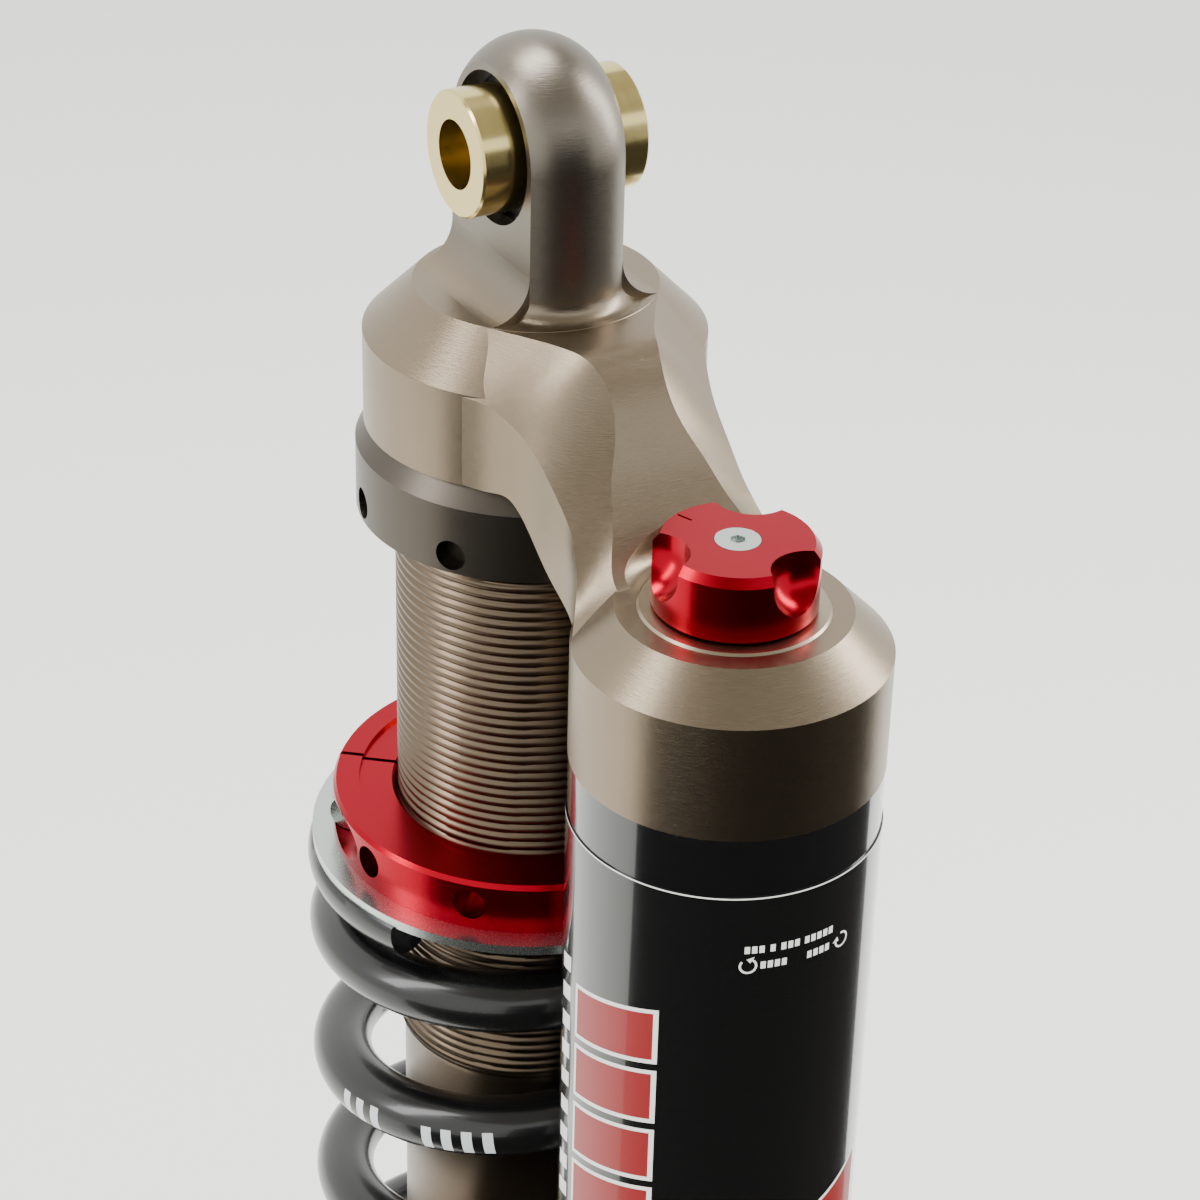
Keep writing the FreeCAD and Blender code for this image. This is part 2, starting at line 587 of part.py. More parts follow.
def make_lower_eye():
    """Lower eye with the collar that carries the spring seat and takes the shaft."""
    collar = lathe([(0, FLANGE_BOTTOM_Z), (26.0, FLANGE_BOTTOM_Z), (30.0, FLANGE_BOTTOM_Z + 2.0),
                    (30.0, PERCH_BOTTOM_Z), (24.9, PERCH_BOTTOM_Z), (24.9, COLLAR_TOP_Z - 1.0),
                    (23.9, COLLAR_TOP_Z), (0, COLLAR_TOP_Z)])
    lug = eye_lug(LOWER_EYE_Z, FLANGE_BOTTOM_Z + 1.0)
    flanks = flank_fillets(FLANGE_BOTTOM_Z, EYE_FACE_R, -1)
    flanks = flanks.common(disc(26.0, FLANGE_BOTTOM_Z + 1.0, LOWER_EYE_Z))
    eye = collar.fuse([lug, flanks]).cut(bearing_bore(LOWER_EYE_Z))
    clip_top = SPRING_BOTTOM_Z + 5.0 + 2 * STATIC + 1.2
    eye = eye.cut(ring(26.5, 23.5, clip_top, clip_top - 1.2 - 2 * STATIC))
    eye = eye.cut(disc(SHAFT_R + STATIC, COLLAR_TOP_Z, COLLAR_TOP_Z - 11.0))
    eye = eye.cut(disc(ROD_BORE_R, COLLAR_TOP_Z, ADJUSTER_Z))
    screw = Part.makeCylinder(4.5, EYE_R + 1.0 + ADJUSTER_BORE_END, V(0, -EYE_R - 1.0, ADJUSTER_Z),
                              V(0, 1, 0))
    return eye.cut(screw).removeSplitter()


def make_rebound_rod():
    rod = disc(ROD_R, ROD_TOP_Z - 5.0, ROD_BOTTOM_Z)
    return rod.fuse(Part.makeCone(ROD_R, 0.8, 5.0, V(0, 0, ROD_TOP_Z - 5.0)))


def make_rebound_adjuster():
    """Screw with a tapered nose under the rebound rod and a slotted head outside."""
    stem_end = -8.0
    head = ADJUSTER_HEAD_R
    end = -EYE_R - ADJUSTER_HEAD_LENGTH
    profile = [(0, end), (head - 0.8, end), (head, end + 0.8), (head, -EYE_R - SEAT_GAP),
               (4.5 - RUNNING, -EYE_R - SEAT_GAP), (4.5 - RUNNING, stem_end), (1.5, ADJUSTER_NOSE_Y),
               (0, ADJUSTER_NOSE_Y)]
    screw = lathe(profile)
    screw = screw.cut(Part.makeBox(16.0, 1.6, 1.8, V(-8.0, -0.8, end)))
    screw.rotate(V(0, 0, 0), V(1, 0, 0), -90)
    screw.translate(V(0, 0, ADJUSTER_Z))
    return screw


# ================================================================ reservoir
def make_reservoir_tube():
    b = (0.0, -RESERVOIR_OFFSET)
    tube = ring(RESERVOIR_R, RESERVOIR_BORE_R, CAP_BOTTOM_Z - STATIC, RESERVOIR_BOTTOM_Z, b)
    return tube.cut(disc(RESERVOIR_BORE_R + 0.9, RESERVOIR_BOTTOM_Z + 4.4,
                         RESERVOIR_BOTTOM_Z + 3.0, b))


def make_reservoir_o_ring():
    b = (0.0, -RESERVOIR_OFFSET)
    band = o_ring(RESERVOIR_BORE_R - 1.0, 1.1, CAP_BOTTOM_Z - 6.0, b)
    return band.common(disc(RESERVOIR_BORE_R - STATIC, CAP_BOTTOM_Z, CAP_BOTTOM_Z - 12.0, b))


def make_reservoir_label():
    b = (0.0, -RESERVOIR_OFFSET)
    return ring(RESERVOIR_R + LABEL_THICK, RESERVOIR_R + 0.01, LABEL_TOP_Z, LABEL_BOTTOM_Z, b)


def make_floating_piston():
    b = (0.0, -RESERVOIR_OFFSET)
    piston = disc(RESERVOIR_BORE_R - 0.4, FLOAT_TOP_Z, FLOAT_BOTTOM_Z, b)
    piston = piston.cut(disc(RESERVOIR_BORE_R - 5.0, FLOAT_BOTTOM_Z + 12.0, FLOAT_BOTTOM_Z, b))
    for top in (FLOAT_TOP_Z - 3.0, FLOAT_TOP_Z - 11.0):
        piston = piston.cut(ring(RESERVOIR_BORE_R, RESERVOIR_BORE_R - 2.4, top, top - 3.4, b))
    return piston


def make_floating_bands():
    """Guide band and seal of the floating piston."""
    b = (0.0, -RESERVOIR_OFFSET)
    return Part.makeCompound([
        ring(RESERVOIR_BORE_R - RUNNING, RESERVOIR_BORE_R - 2.4 + STATIC, top - STATIC,
             top - 3.4 + STATIC, b)
        for top in (FLOAT_TOP_Z - 3.0, FLOAT_TOP_Z - 11.0)])


def make_reservoir_end_cap():
    b = (0.0, -RESERVOIR_OFFSET)
    cap = lathe([(0, RESERVOIR_BOTTOM_Z + 5.0), (8.0, RESERVOIR_BOTTOM_Z + 5.0),
                 (8.0, RESERVOIR_BOTTOM_Z + 2.0), (12.0, RESERVOIR_BOTTOM_Z + 2.0),
                 (14.0, RESERVOIR_BOTTOM_Z + 4.4 + STATIC),
                 (RESERVOIR_BORE_R - STATIC, RESERVOIR_BOTTOM_Z + 4.4 + STATIC),
                 (RESERVOIR_BORE_R - STATIC, END_CAP_TOP_Z), (0, END_CAP_TOP_Z)], b)
    return cap.cut(disc(VALVE_R + STATIC, END_CAP_TOP_Z, RESERVOIR_BOTTOM_Z, b))


def make_reservoir_clip():
    b = (0.0, -RESERVOIR_OFFSET)
    top = RESERVOIR_BOTTOM_Z + 4.4 - STATIC
    return c_ring(RESERVOIR_BORE_R + 0.8, RESERVOIR_BORE_R - 2.0, top, top - 1.3, b, 12.0)


def make_gas_valve():
    b = (0.0, -RESERVOIR_OFFSET)
    body = disc(VALVE_R, END_CAP_TOP_Z - 1.0, RESERVOIR_BOTTOM_Z + 2.2, b)
    stem = disc(2.4, RESERVOIR_BOTTOM_Z + 2.2, RESERVOIR_BOTTOM_Z - 2.0, b)
    return body.fuse(stem)


def make_valve_cap():
    b = (0.0, -RESERVOIR_OFFSET)
    return disc(3.6, RESERVOIR_BOTTOM_Z + 2.0, RESERVOIR_BOTTOM_Z - 3.0, b).cut(
        disc(2.4 + STATIC, RESERVOIR_BOTTOM_Z + 2.0, RESERVOIR_BOTTOM_Z - 2.1, b))


# ================================================================ compression adjuster
def make_adjuster_body():
    b = (0.0, -RESERVOIR_OFFSET)
    top = CAP_FLAT_Z + 0.4
    seat = CAP_FLAT_Z - DISC_THICK + STATIC
    body = lathe([(0, -95.0), (5.0, -95.0), (5.0, -76.0), (ADJUSTER_BORE_R - STATIC, -76.0),
                  (ADJUSTER_BORE_R - STATIC, seat), (DISC_R, seat), (DISC_R, top - 0.4),
                  (DISC_R - 0.4, top), (0, top)], b)
    return body.cut(disc(NEEDLE_R + RUNNING, top, -95.0, b))


def make_base_valve():
    b = (0.0, -RESERVOIR_OFFSET)
    piston = ring(VALVE_CHAMBER_R - STATIC, 5.0 + STATIC, -80.0, -88.0, b)
    for k in range(PORTS):
        a = math.radians(360.0 * k / PORTS)
        piston = piston.cut(disc(2.4, -80.0, -88.0,
                                 (12.0 * math.cos(a), 12.0 * math.sin(a) - RESERVOIR_OFFSET)))
    return piston


def make_base_valve_shims():
    b = (0.0, -RESERVOIR_OFFSET)
    return Part.makeCompound([ring(15.5, 5.0 + STATIC, -78.6, -80.0 + STATIC, b),
                              ring(15.5, 5.0 + STATIC, -88.0 - STATIC, -89.4, b)])


def make_base_valve_nut():
    b = (0.0, -RESERVOIR_OFFSET)
    return hexagon(8.0, -89.4 - STATIC, -94.0, b).cut(disc(5.0 + STATIC, -89.4, -94.0, b))


def scoop(angle):
    """Ball-nosed finger scoop in the side of the knob, open at the top."""
    a = math.radians(angle)
    x = SCOOP_CENTRE_R * math.cos(a)
    y = SCOOP_CENTRE_R * math.sin(a) - RESERVOIR_OFFSET
    return disc(SCOOP_R, KNOB_TOP_Z + 1.0, SCOOP_BALL_Z, (x, y)).fuse(
        Part.makeSphere(SCOOP_R, V(x, y, SCOOP_BALL_Z)))


def make_compression_knob():
    b = (0.0, -RESERVOIR_OFFSET)
    low = CAP_FLAT_Z + 0.4 + SEAT_GAP
    knob = lathe([(0, low), (KNOB_R - 0.5, low), (KNOB_R, low + 0.5), (KNOB_R, KNOB_TOP_Z - 1.6),
                  (KNOB_R - 1.2, KNOB_TOP_Z), (0, KNOB_TOP_Z)], b)
    for angle in SCOOP_ANGLES:
        knob = knob.cut(scoop(angle))
    width, depth = INDEX_LINE
    line = Part.makeBox(5.0, width, depth, V(KNOB_R - 4.6, -width / 2, KNOB_TOP_Z - depth))
    line.rotate(V(0, 0, 0), V(0, 0, 1), INDEX_ANGLE)
    line.translate(V(b[0], b[1], 0))
    knob = knob.cut(line)
    knob = knob.cut(disc(NEEDLE_R + SEAT_GAP, KNOB_TOP_Z - 7.0, low, b))
    return knob.cut(Part.makeCone(2.0, 4.1, 2.6, V(0, -RESERVOIR_OFFSET, KNOB_TOP_Z - 2.6))).cut(
        disc(2.0, KNOB_TOP_Z, KNOB_TOP_Z - 6.0, b))


def make_knob_screw():
    b = (0.0, -RESERVOIR_OFFSET)
    head = Part.makeCone(1.95, 4.0, 2.5, V(0, -RESERVOIR_OFFSET, KNOB_TOP_Z - 2.5))
    screw = head.fuse(disc(1.95, KNOB_TOP_Z - 2.4, KNOB_TOP_Z - 5.8, b))
    return screw.cut(hexagon(1.45, KNOB_TOP_Z, KNOB_TOP_Z - 1.6, b))


def make_compression_needle():
    b = (0.0, -RESERVOIR_OFFSET)
    tip = Part.makeCone(0.8, NEEDLE_R, 4.0, V(0, -RESERVOIR_OFFSET, -90.0))
    return tip.fuse(disc(NEEDLE_R, KNOB_TOP_Z - 9.0, -86.0, b))


# ================================================================ build
export("head", make_head())
export("upper_bearing_race", make_race(0.0))
export("upper_bearing_ball", make_ball(0.0))
export("upper_bearing_clips", make_bearing_clips(0.0))
export("upper_spacers", make_spacers(0.0))
export("shock_body", make_shock_body())
export("body_o_ring", make_body_o_ring())
export("body_lock_ring", make_lock_ring())
export("seal_head", make_seal_head())
export("seal_head_o_ring", make_seal_head_o_ring())
export("shaft_seal", make_shaft_seal())
export("seal_head_clip", make_seal_head_clip())
export("body_end_cap", make_body_end_cap())
export("shaft_wiper", make_shaft_wiper())
export("topout_bumper", make_topout_bumper())
export("preload_nut", make_preload_nut())
export("preload_clamp_screw", make_clamp_screw())
export("spring_washer", make_spring_washer())
export("spring", make_spring())
export("spring_perch", make_spring_perch())
export("perch_clip", make_perch_clip())
export("shaft", make_shaft())
for name, top, bottom, outer in PISTON_STACK:
    if name == "damping_piston":
        export(name, make_damping_piston())
    else:
        export(name, make_piston_stack_part(top, bottom, outer))
export("piston_band", make_piston_band())
export("piston_nut", make_piston_nut())
export("bump_washer", make_bump_washer())
export("bump_stop", make_bump_stop())
export("lower_eye", make_lower_eye())
export("lower_bearing_race", make_race(LOWER_EYE_Z))
export("lower_bearing_ball", make_ball(LOWER_EYE_Z))
export("lower_bearing_clips", make_bearing_clips(LOWER_EYE_Z))
export("lower_spacers", make_spacers(LOWER_EYE_Z))
export("rebound_rod", make_rebound_rod())
export("rebound_adjuster", make_rebound_adjuster())
export("reservoir_tube", make_reservoir_tube())
export("reservoir_o_ring", make_reservoir_o_ring())
export("reservoir_label", make_reservoir_label())
export("floating_piston", make_floating_piston())
export("floating_piston_bands", make_floating_bands())
export("reservoir_end_cap", make_reservoir_end_cap())
export("reservoir_clip", make_reservoir_clip())
export("gas_valve", make_gas_valve())
export("valve_cap", make_valve_cap())
export("adjuster_body", make_adjuster_body())
export("base_valve", make_base_valve())
export("base_valve_shims", make_base_valve_shims())
export("base_valve_nut", make_base_valve_nut())
export("compression_knob", make_compression_knob())
export("knob_screw", make_knob_screw())
export("compression_needle", make_compression_needle())
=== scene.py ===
import math

import bmesh
import bpy
from mathutils import Matrix, Vector


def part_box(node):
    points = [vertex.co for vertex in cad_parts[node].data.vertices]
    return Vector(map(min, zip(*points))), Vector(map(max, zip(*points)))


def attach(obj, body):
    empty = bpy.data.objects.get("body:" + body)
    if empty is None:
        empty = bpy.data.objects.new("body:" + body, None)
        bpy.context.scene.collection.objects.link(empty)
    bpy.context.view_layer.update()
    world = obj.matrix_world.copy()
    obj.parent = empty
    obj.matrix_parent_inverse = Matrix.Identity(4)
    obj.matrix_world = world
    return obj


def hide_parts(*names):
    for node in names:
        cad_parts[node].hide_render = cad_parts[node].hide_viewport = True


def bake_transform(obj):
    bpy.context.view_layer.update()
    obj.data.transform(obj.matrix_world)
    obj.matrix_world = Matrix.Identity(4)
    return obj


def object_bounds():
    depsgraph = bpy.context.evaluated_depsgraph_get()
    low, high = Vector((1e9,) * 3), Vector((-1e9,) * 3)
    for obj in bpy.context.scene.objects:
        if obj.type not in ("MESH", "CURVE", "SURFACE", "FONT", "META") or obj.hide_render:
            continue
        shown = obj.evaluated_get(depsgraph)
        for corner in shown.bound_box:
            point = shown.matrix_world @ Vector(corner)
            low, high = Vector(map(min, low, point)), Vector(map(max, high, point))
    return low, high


bl_info = {
    "name": "Rear shock absorber",
    "version": (1, 0, 0),
    "blender": (4, 5, 0),
    "location": "View3D > Sidebar > Shock",
    "description": "Motorcycle rear shock absorber: thread, spring, printed sleeve, finishes and studio",
    "category": "Object",
}

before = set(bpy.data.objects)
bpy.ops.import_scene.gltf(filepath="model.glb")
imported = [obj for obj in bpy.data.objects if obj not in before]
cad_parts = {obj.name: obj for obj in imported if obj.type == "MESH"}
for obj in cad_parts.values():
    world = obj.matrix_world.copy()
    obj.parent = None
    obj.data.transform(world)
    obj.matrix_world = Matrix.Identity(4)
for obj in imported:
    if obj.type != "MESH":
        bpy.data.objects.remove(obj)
CAD_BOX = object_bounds()
MM = 0.001

# Where the two axes and the main levels are, in metres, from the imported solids.
BODY_LOW, BODY_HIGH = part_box("shock_body")
TUBE_LOW, TUBE_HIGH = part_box("reservoir_tube")
SPRING_LOW, SPRING_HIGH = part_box("spring")
LABEL_LOW, LABEL_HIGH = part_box("reservoir_label")
HEAD_LOW, HEAD_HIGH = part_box("head")
RING_LOW, RING_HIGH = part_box("body_lock_ring")
RESERVOIR_AXIS = Vector(((TUBE_LOW.x + TUBE_HIGH.x) / 2, (TUBE_LOW.y + TUBE_HIGH.y) / 2, 0.0))

# Row of printed blocks on the outside of the spring, where its second turn ends: degrees round the
# body axis to the first block and from one block to the next, and the heights they lie between.
PRINT_START = 186.0
PRINT_STEP = 5.625
PRINT_BLOCKS = 9
PRINT_GAPS = (3, 4)
PRINT_LOW = -0.205
PRINT_HIGH = -0.188

# Studio, in metres and watts. The camera's angles are its azimuth, elevation and roll in degrees.
CAMERA_PLACE = (-0.24844, -0.46387, 0.21310)
CAMERA_ANGLES = (-29.63, 30.42, 1.52)
CAMERA_LENS = 93.63
FLOOR_GAP = 0.002
FLOOR_HALF = 8
SKY_STRENGTH = 2.1
# name, place, point it faces, width and height, power
SOFTBOXES = (
    ("left_softbox", (-0.95, 0.20, 0.50), (0.0, 0.0, -0.10), (0.25, 0.9), 7.0),
    ("right_softbox", (0.85, -0.15, 0.35), (0.0, -0.03, -0.12), (0.25, 0.9), 8.0),
    ("top_softbox", (-0.05, 0.35, 0.95), (0.0, -0.03, -0.05), (0.7, 0.4), 12.0),
)


# ------------------------------------------------------------------ colours and nodes
def linear(code):
    """sRGB hex colour as linear RGBA."""
    values = [int(code[i:i + 2], 16) / 255.0 for i in (1, 3, 5)]
    return tuple(v / 12.92 if v <= 0.04045 else ((v + 0.055) / 1.055) ** 2.4 for v in values) + (1.0,)


def add(tree, kind, *given, **links):
    """New node of a type, or a Math node named by its operation. A dict names its properties or input
    values, anything else feeds its inputs in order, and links feed inputs by name (n0 is the first).
    A node standing as a source gives its first output."""
    node = tree.nodes.new("ShaderNodeMath" if kind.isupper() else kind)
    if kind.isupper():
        node.operation = kind
    sources = [(i, item) for i, item in enumerate(g for g in given if not isinstance(g, dict))]
    for settings in (g for g in given if isinstance(g, dict)):
        for key, value in settings.items():
            if isinstance(key, str) and hasattr(node, key):
                setattr(node, key, value)
            else:
                node.inputs[key].default_value = value
    for key, item in links.items():
        sources.append((int(key[1:]) if key[0] == "n" and key[1:].isdigit() else key.replace("_", " "), item))
    for key, item in sources:
        if isinstance(item, (int, float)):
            node.inputs[key].default_value = item
        else:
            tree.links.new(getattr(item, "outputs", [item])[0], node.inputs[key])
    return node


def new_material(name):
    """Empty principled material: (material, its tree, its shader)."""
    material = bpy.data.materials.new(name)
    material.use_nodes = True
    return material, material.node_tree, material.node_tree.nodes["Principled BSDF"]


# ------------------------------------------------------------------ finishes
def scratch_bump(tree, shader, stretch, strength, distance, scale):
    """Fine tool lines: noise stretched along the lines, as a bump and a roughness change."""
    place = add(tree, "ShaderNodeTexCoord")
    turned = add(tree, "ShaderNodeMapping", {"Scale": stretch}, Vector=place.outputs["Object"])
    grain = add(tree, "ShaderNodeTexNoise", {"Scale": scale, "Detail": 3.0, "Roughness": 0.6},
                Vector=turned.outputs["Vector"])
    bump = add(tree, "ShaderNodeBump", {"Strength": strength, "Distance": distance},
               Height=grain.outputs["Fac"])
    tree.links.new(bump.outputs["Normal"], shader.inputs["Normal"])
    return grain.outputs["Fac"]


def machined_head(colours):
    """Titanium-grey anodised aluminium, milled and fine-brushed: broad soft highlights with faint
    level tool lines about 0.15 mm apart; the lug above is darker and a little duller."""
    material, tree, shader = new_material("milled_grey_anodised_aluminium")
    shader.inputs["Metallic"].default_value = 1.0
    grain = scratch_bump(tree, shader, (60.0, 60.0, 900.0), 0.40, 0.00009, 7.0)
    place = add(tree, "ShaderNodeTexCoord")
    axes = add(tree, "ShaderNodeSeparateXYZ", Vector=place.outputs["Object"])
    height = add(tree, "ShaderNodeMapRange", {"From Min": -0.0270, "From Max": -0.0215},
                 Value=axes.outputs["Z"])
    cloud = add(tree, "ShaderNodeTexNoise", {"Scale": 55.0, "Detail": 2.0},
                Vector=place.outputs["Object"])
    tone = add(tree, "ShaderNodeMix", {"data_type": "RGBA", 6: colours.head[:] + (1.0,),
                                       7: colours.lug[:] + (1.0,)}, n0=height.outputs["Result"])
    worn = add(tree, "ShaderNodeHueSaturation", Color=tone.outputs[2],
               Value=add(tree, "ADD", 0.94, add(tree, "MULTIPLY", cloud.outputs["Fac"], 0.12)))
    tree.links.new(worn.outputs["Color"], shader.inputs["Base Color"])
    rough = add(tree, "ADD", 0.24, add(tree, "MULTIPLY", grain, 0.14))
    rough = add(tree, "ADD", rough, add(tree, "MULTIPLY", height.outputs["Result"], 0.05))
    tree.links.new(rough.outputs[0], shader.inputs["Roughness"])
    return material


def turned_metal(name, colour, roughness, ring_axis, strength):
    """Lathe-turned metal: tool rings about 0.1 mm apart, drawn at 0.2 mm so they show."""
    material, tree, shader = new_material(name)
    shader.inputs["Metallic"].default_value = 1.0
    shader.inputs["Base Color"].default_value = colour
    stretch = (900.0, 40.0, 40.0) if ring_axis == "X" else (40.0, 40.0, 900.0)
    grain = scratch_bump(tree, shader, stretch, strength, 0.00005, 5.0)
    rough = add(tree, "ADD", roughness, add(tree, "MULTIPLY", grain, 0.10))
    tree.links.new(rough.outputs[0], shader.inputs["Roughness"])
    return material


def blasted_metal(name, colour, roughness, strength):
    """Bead-blasted and anodised metal: a fine even grain about 0.15 mm across, drawn at 0.3 mm."""
    material, tree, shader = new_material(name)
    shader.inputs["Metallic"].default_value = 1.0
    shader.inputs["Base Color"].default_value = colour
    grain = scratch_bump(tree, shader, (1.0, 1.0, 1.0), strength, 0.00005, 3200.0)
    rough = add(tree, "ADD", roughness, add(tree, "MULTIPLY", grain, 0.06))
    tree.links.new(rough.outputs[0], shader.inputs["Roughness"])
    return material


def coated(name, colour, roughness, coat, ripple):
    """Gloss coat over a dark base: sharp reflections with the faint ripple of cured powder."""
    material, tree, shader = new_material(name)
    shader.inputs["Base Color"].default_value = colour
    shader.inputs["Roughness"].default_value = roughness
    shader.inputs["Coat Weight"].default_value = coat
    shader.inputs["Coat Roughness"].default_value = 0.06
    scratch_bump(tree, shader, (1.0, 1.0, 1.0), ripple, 0.0002, 260.0)
    return material


def soft_material(name, colour, roughness):
    """Moulded rubber or filled plastic: dull and even, with a very fine grain."""
    material, tree, shader = new_material(name)
    shader.inputs["Base Color"].default_value = colour
    shader.inputs["Roughness"].default_value = roughness
    scratch_bump(tree, shader, (1.0, 1.0, 1.0), 0.15, 0.0001, 900.0)
    return material


def printed_ink(name, colour):
    """Screen-printed ink: flat colour with a faint clear skin."""
    material, tree, shader = new_material(name)
    shader.inputs["Base Color"].default_value = colour
    shader.inputs["Roughness"].default_value = 0.45
    shader.inputs["Coat Weight"].default_value = 0.25
    shader.inputs["Coat Roughness"].default_value = 0.05
    return material


def matt_cloth(name, code):
    """Woven studio cloth: no gloss at all."""
    material, _, shader = new_material(name)
    shader.inputs["Base Color"].default_value = linear(code)
    shader.inputs["Roughness"].default_value = 1.0
    return material


# ------------------------------------------------------------------ mesh helpers
def finish_piece(name, mesh, body, replaced=(), angle=35.0):
    """Object at the origin from a finished mesh, shaded, riding on its body."""
    mesh.set_sharp_from_angle(angle=math.radians(angle))
    piece = bpy.data.objects.new(name, mesh)
    bpy.context.scene.collection.objects.link(piece)
    if body:
        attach(piece, body)
    if replaced:
        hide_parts(*replaced)
    return piece


def lathe_mesh(name, points, segments, closed=False, centre=(0.0, 0.0)):
    """Revolved (radius, height) outline; a closed outline joins its last point to its first."""
    bm = bmesh.new()
    rings = []
    for radius, height in points:
        rings.append([bm.verts.new((centre[0] + radius * math.cos(2 * math.pi * k / segments),
                                    centre[1] + radius * math.sin(2 * math.pi * k / segments), height))
                      for k in range(segments)])
    pairs = list(zip(rings, rings[1:])) + ([(rings[-1], rings[0])] if closed else [])
    for lower, upper in pairs:
        for k in range(segments):
            following = (k + 1) % segments
            bm.faces.new((lower[k], lower[following], upper[following], upper[k]))
    mesh = bpy.data.meshes.new(name)
    bm.to_mesh(mesh)
    bm.free()
    return mesh


def from_nodes(name, tree, values, material):
    """Plain mesh made by a Geometry Nodes tree with its named inputs set."""
    holder = bpy.data.objects.new(name + "_source", bpy.data.meshes.new(name + "_source"))
    bpy.context.scene.collection.objects.link(holder)
    modifier = holder.modifiers.new(name, "NODES")
    modifier.node_group = tree
    for socket in tree.interface.items_tree:
        if socket.in_out == "INPUT" and socket.name in values:
            modifier[socket.identifier] = values[socket.name]
        elif socket.in_out == "INPUT" and socket.name == "Material":
            modifier[socket.identifier] = material
    bpy.context.view_layer.update()
    evaluated = holder.evaluated_get(bpy.context.evaluated_depsgraph_get())
    mesh = bpy.data.meshes.new_from_object(evaluated)
    mesh.name = name
    holder.modifiers.remove(modifier)
    bpy.data.objects.remove(holder)
    return mesh


def start_tree(name, inputs):
    """Geometry Nodes tree with named float inputs and a material, its in and out nodes placed."""
    tree = bpy.data.node_groups.new(name, "GeometryNodeTree")
    tree.interface.new_socket(name="Geometry", in_out="OUTPUT", socket_type="NodeSocketGeometry")
    for label in inputs:
        kind = "NodeSocketInt" if label.startswith("Count") else "NodeSocketFloat"
        tree.interface.new_socket(name=label, in_out="INPUT", socket_type=kind)
    tree.interface.new_socket(name="Material", in_out="INPUT", socket_type="NodeSocketMaterial")
    return tree, tree.nodes.new("NodeGroupInput").outputs, tree.nodes.new("NodeGroupOutput").inputs


def close_tree(tree, geometry, given, out):
    """Ends a tree: realised, smooth and given its material."""
    real = add(tree, "GeometryNodeRealizeInstances", Geometry=geometry)
    smooth = add(tree, "GeometryNodeSetShadeSmooth", Geometry=real.outputs[0])
    painted = add(tree, "GeometryNodeSetMaterial", Geometry=smooth.outputs[0], Material=given["Material"])
    tree.links.new(painted.outputs[0], out["Geometry"])


def thread_tree():
    """Right-hand thread wrapped round a cylinder, running out at its lower end."""
    tree, given, out = start_tree("helical_thread", [
        "Radius", "Depth", "Pitch", "Top", "Height", "Run Out", "Count Round", "Count Down"])
    grid = add(tree, "GeometryNodeMeshGrid", {"Size X": 1.0, "Size Y": 1.0})
    tree.links.new(given["Count Round"], grid.inputs["Vertices X"])
    tree.links.new(given["Count Down"], grid.inputs["Vertices Y"])
    place = add(tree, "ShaderNodeSeparateXYZ", Vector=add(tree, "GeometryNodeInputPosition").outputs[0])
    around = add(tree, "ADD", place.outputs["X"], 0.5)
    down = add(tree, "SUBTRACT", 0.5, place.outputs["Y"])
    height = add(tree, "SUBTRACT", given["Top"], add(tree, "MULTIPLY", down, given["Height"]))
    turns = add(tree, "SUBTRACT", add(tree, "DIVIDE", height, given["Pitch"]), around)
    phase = add(tree, "FRACT", turns)
    flank = add(tree, "MULTIPLY", add(tree, "ABSOLUTE", add(tree, "SUBTRACT", phase, 0.5)), 2.7)
    groove = add(tree, "SUBTRACT", 1.0, add(tree, "MINIMUM", flank, 1.0))
    left = add(tree, "SUBTRACT", height, add(tree, "SUBTRACT", given["Top"], given["Height"]))
    fade = add(tree, "MINIMUM", 1.0, add(tree, "DIVIDE", left, given["Run Out"]))
    cut = add(tree, "MULTIPLY", add(tree, "MULTIPLY", groove, given["Depth"]), fade)
    radius = add(tree, "SUBTRACT", given["Radius"], cut)
    angle = add(tree, "MULTIPLY", around, 2 * math.pi)
    wrapped = add(tree, "ShaderNodeCombineXYZ", Z=height,
                  X=add(tree, "MULTIPLY", radius, add(tree, "COSINE", angle)),
                  Y=add(tree, "MULTIPLY", radius, add(tree, "SINE", angle)))
    moved = add(tree, "GeometryNodeSetPosition", Geometry=grid.outputs["Mesh"], Position=wrapped.outputs[0])
    joined = add(tree, "GeometryNodeMergeByDistance", {"Distance": 0.000005}, Geometry=moved.outputs[0])
    close_tree(tree, joined.outputs[0], given, out)
    return tree


